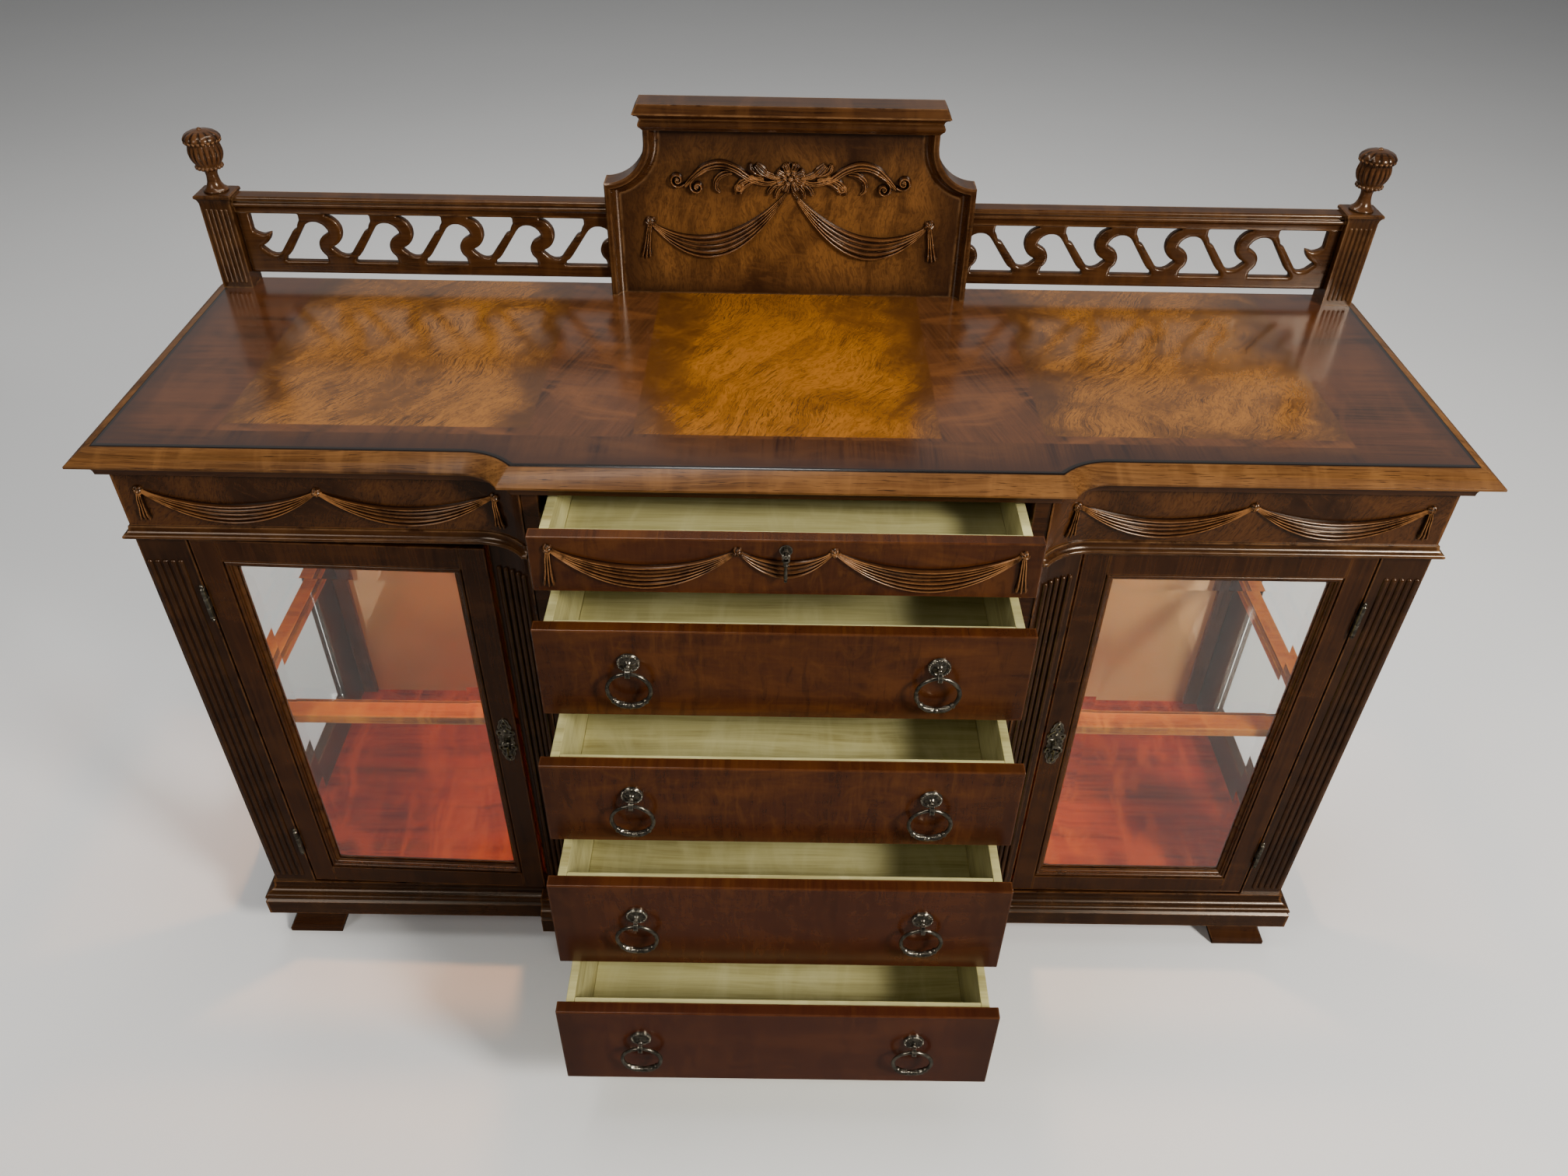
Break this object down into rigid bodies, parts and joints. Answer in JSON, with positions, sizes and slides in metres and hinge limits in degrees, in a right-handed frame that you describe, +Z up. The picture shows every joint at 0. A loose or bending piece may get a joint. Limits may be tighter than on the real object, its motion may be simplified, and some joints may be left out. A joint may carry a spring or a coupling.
{
  "type": "buffet",
  "caption": "Breakfront buffet with two glazed end cabinets, a bank of drawers between them, reeded pilasters, carved swags and a pierced gallery with a carved splat.",
  "frame": {"origin": "on the floor, in the middle of the bounding box in width and depth, with the drawers pulled out as at rest", "axes": "+X to the right when facing the front, -Y towards the viewer, +Z up"},
  "size_m": [1.83, 0.8809, 1.332],
  "materials": {
    "top_veneer": "gloss",
    "panel_veneer": "satin",
    "front_veneer": "satin",
    "case_wood": "satin",
    "moulding_wood": "satin",
    "carved_wood": "satin",
    "inside_wood": "satin",
    "drawer_wood": "matte",
    "antique_brass": "satin",
    "clear_glass": "gloss",
    "mirror_glass": "gloss",
    "lamp_body": "matte"
  },
  "bodies": {
    "case": {"top_board": "top_veneer", "side_friezes": "case_wood", "waist_mouldings": "case_wood", "outer_pilasters": "moulding_wood", "inner_pilasters": "moulding_wood", "face_frame": "case_wood", "side_frames": "case_wood", "cabinet_panes": "clear_glass", "back_panel": "inside_wood", "mirrors": "mirror_glass", "cabinet_walls": "inside_wood", "bottom_board": "inside_wood", "plinth": "case_wood", "feet": "case_wood", "drawer_runners": "drawer_wood", "shelf_frames": "inside_wood", "shelf_pins": "antique_brass", "cabinet_lights": "lamp_body", "gallery_posts": "moulding_wood", "finials": "moulding_wood", "gallery_rails": "moulding_wood", "gallery_fretwork": "moulding_wood", "splat_panel": "panel_veneer", "splat_frame": "moulding_wood", "splat_carving": "carved_wood", "frieze_swags": "carved_wood", "door_hinges": "antique_brass"},
    "drawer_1": {"drawer_1_front": "front_veneer", "drawer_1_box": "drawer_wood", "drawer_1_swags": "carved_wood", "drawer_1_plate": "antique_brass"},
    "drawer_1_pull": {"drawer_1_drop": "antique_brass"},
    "drawer_2": {"drawer_2_front": "front_veneer", "drawer_2_box": "drawer_wood", "drawer_2_plates": "antique_brass"},
    "drawer_2_left_pull": {"drawer_2_left_ring": "antique_brass"},
    "drawer_2_right_pull": {"drawer_2_right_ring": "antique_brass"},
    "drawer_3": {"drawer_3_front": "front_veneer", "drawer_3_box": "drawer_wood", "drawer_3_plates": "antique_brass"},
    "drawer_3_left_pull": {"drawer_3_left_ring": "antique_brass"},
    "drawer_3_right_pull": {"drawer_3_right_ring": "antique_brass"},
    "drawer_4": {"drawer_4_front": "front_veneer", "drawer_4_box": "drawer_wood", "drawer_4_plates": "antique_brass"},
    "drawer_4_left_pull": {"drawer_4_left_ring": "antique_brass"},
    "drawer_4_right_pull": {"drawer_4_right_ring": "antique_brass"},
    "drawer_5": {"drawer_5_front": "front_veneer", "drawer_5_box": "drawer_wood", "drawer_5_plates": "antique_brass"},
    "drawer_5_left_pull": {"drawer_5_left_ring": "antique_brass"},
    "drawer_5_right_pull": {"drawer_5_right_ring": "antique_brass"},
    "left_door": {"left_door_frame": "case_wood", "left_door_glass": "clear_glass", "left_door_fittings": "antique_brass"},
    "left_door_pull": {"left_door_drop": "antique_brass"},
    "right_door": {"right_door_frame": "case_wood", "right_door_glass": "clear_glass", "right_door_fittings": "antique_brass"},
    "right_door_pull": {"right_door_drop": "antique_brass"}
  },
  "joints": [
    {"name": "drawer_1_slide", "type": "slide", "parent": "case", "child": "drawer_1", "axis": [0, -1, 0], "range_m": [-0.097, 0.253]},
    {"name": "drawer_1_pull_swing", "type": "hinge", "parent": "drawer_1", "child": "drawer_1_pull", "pos_m": [0, -0.202, 0.981], "axis": [-1, 0, 0], "range_deg": [0, 85]},
    {"name": "drawer_2_slide", "type": "slide", "parent": "case", "child": "drawer_2", "axis": [0, -1, 0], "range_m": [-0.139, 0.211]},
    {"name": "drawer_2_left_pull_swing", "type": "hinge", "parent": "drawer_2", "child": "drawer_2_left_pull", "pos_m": [-0.199, -0.244, 0.8212], "axis": [-1, 0, 0], "range_deg": [0, 100]},
    {"name": "drawer_2_right_pull_swing", "type": "hinge", "parent": "drawer_2", "child": "drawer_2_right_pull", "pos_m": [0.199, -0.244, 0.8212], "axis": [-1, 0, 0], "range_deg": [0, 100]},
    {"name": "drawer_3_slide", "type": "slide", "parent": "case", "child": "drawer_3", "axis": [0, -1, 0], "range_m": [-0.206, 0.144]},
    {"name": "drawer_3_left_pull_swing", "type": "hinge", "parent": "drawer_3", "child": "drawer_3_left_pull", "pos_m": [-0.199, -0.311, 0.6442], "axis": [-1, 0, 0], "range_deg": [0, 100]},
    {"name": "drawer_3_right_pull_swing", "type": "hinge", "parent": "drawer_3", "child": "drawer_3_right_pull", "pos_m": [0.199, -0.311, 0.6442], "axis": [-1, 0, 0], "range_deg": [0, 100]},
    {"name": "drawer_4_slide", "type": "slide", "parent": "case", "child": "drawer_4", "axis": [0, -1, 0], "range_m": [-0.262, 0.088]},
    {"name": "drawer_4_left_pull_swing", "type": "hinge", "parent": "drawer_4", "child": "drawer_4_left_pull", "pos_m": [-0.199, -0.367, 0.4567], "axis": [-1, 0, 0], "range_deg": [0, 100]},
    {"name": "drawer_4_right_pull_swing", "type": "hinge", "parent": "drawer_4", "child": "drawer_4_right_pull", "pos_m": [0.199, -0.367, 0.4567], "axis": [-1, 0, 0], "range_deg": [0, 100]},
    {"name": "drawer_5_slide", "type": "slide", "parent": "case", "child": "drawer_5", "axis": [0, -1, 0], "range_m": [-0.326, 0.024]},
    {"name": "drawer_5_left_pull_swing", "type": "hinge", "parent": "drawer_5", "child": "drawer_5_left_pull", "pos_m": [-0.199, -0.431, 0.2497], "axis": [-1, 0, 0], "range_deg": [0, 100]},
    {"name": "drawer_5_right_pull_swing", "type": "hinge", "parent": "drawer_5", "child": "drawer_5_right_pull", "pos_m": [0.199, -0.431, 0.2497], "axis": [-1, 0, 0], "range_deg": [0, 100]},
    {"name": "left_door_hinge", "type": "hinge", "parent": "case", "child": "left_door", "pos_m": [-0.8145, -0.065, 0.514], "axis": [0, 0, -1], "range_deg": [-1.5, 103.5]},
    {"name": "left_door_pull_swing", "type": "hinge", "parent": "left_door", "child": "left_door_pull", "pos_m": [-0.42624, -0.07917, 0.514], "axis": [-0.9997, 0.0262, 0], "range_deg": [0, 85]},
    {"name": "right_door_hinge", "type": "hinge", "parent": "case", "child": "right_door", "pos_m": [0.8145, -0.065, 0.514], "axis": [0, 0, 1], "range_deg": [0, 105]},
    {"name": "right_door_pull_swing", "type": "hinge", "parent": "right_door", "child": "right_door_pull", "pos_m": [0.426, -0.069, 0.514], "axis": [-1, 0, 0], "range_deg": [0, 85]}
  ]
}
